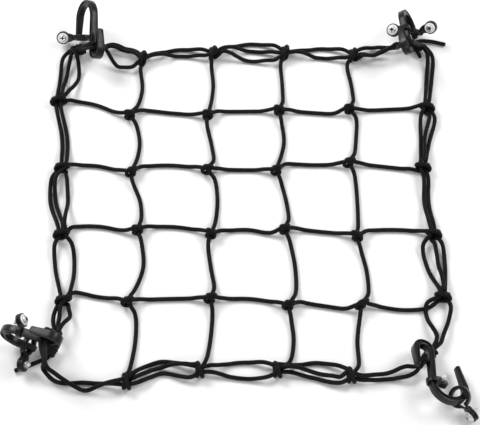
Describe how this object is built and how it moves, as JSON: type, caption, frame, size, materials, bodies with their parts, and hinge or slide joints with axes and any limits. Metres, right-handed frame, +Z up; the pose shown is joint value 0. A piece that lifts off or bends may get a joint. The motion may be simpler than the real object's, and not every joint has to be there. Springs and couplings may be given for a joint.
{
  "type": "cargo net",
  "caption": "Square elastic cord cargo net laid out flat, with knotted cells, a doubled border, plastic S-hooks lashed to its corners and strap clamps with screws on the hooks.",
  "frame": {"origin": "on the surface that the net lies on, under the middle of its bounding box", "axes": "+X to the right along the front edge, +Y from the front edge to the back edge, +Z up from the surface"},
  "size_m": [0.482, 0.5038, 0.0639],
  "materials": {
    "cord": "matt black braided sheath",
    "hook_plastic": "satin black moulded plastic",
    "clamp_plastic": "satin black strap",
    "zinc_steel": "bright zinc plated"
  },
  "bodies": {
    "root": {"border_back_inner": "cord", "border_back_outer": "cord", "border_back_third_1": "cord", "border_back_third_3": "cord", "border_back_third_5": "cord", "border_front_inner": "cord", "border_front_outer": "cord", "border_front_third_2": "cord", "border_front_third_4": "cord", "border_left_inner": "cord", "border_left_outer": "cord", "border_left_third_1": "cord", "border_left_third_3": "cord", "border_left_third_5": "cord", "border_right_inner": "cord", "border_right_outer": "cord", "border_right_third_2": "cord", "border_right_third_4": "cord", "clamp_back_left": "clamp_plastic", "clamp_back_right_inner": "clamp_plastic", "clamp_back_right_outer": "clamp_plastic", "clamp_front_left_lower": "clamp_plastic", "clamp_front_left_upper": "clamp_plastic", "clamp_front_right_lower": "clamp_plastic", "clamp_front_right_upper": "clamp_plastic", "column_cord_1": "cord", "column_cord_2": "cord", "column_cord_3": "cord", "column_cord_4": "cord", "hook_back_left": "hook_plastic", "hook_back_right": "hook_plastic", "hook_front_left": "hook_plastic", "hook_front_right": "hook_plastic", "lashing_back_left": "cord", "lashing_back_right": "cord", "lashing_front_left": "cord", "lashing_front_right": "cord", "nut_back_left": "zinc_steel", "nut_back_right_inner": "zinc_steel", "nut_back_right_outer": "zinc_steel", "nut_front_left_lower": "zinc_steel", "nut_front_left_upper": "zinc_steel", "nut_front_right_lower": "zinc_steel", "nut_front_right_upper": "zinc_steel", "row_cord_1": "cord", "row_cord_2": "cord", "row_cord_3": "cord", "row_cord_4": "cord", "screw_back_left": "zinc_steel", "screw_back_right_inner": "zinc_steel", "screw_back_right_outer": "zinc_steel", "screw_front_left_lower": "zinc_steel", "screw_front_left_upper": "zinc_steel", "screw_front_right_lower": "zinc_steel", "screw_front_right_upper": "zinc_steel"}
  },
  "joints": []
}
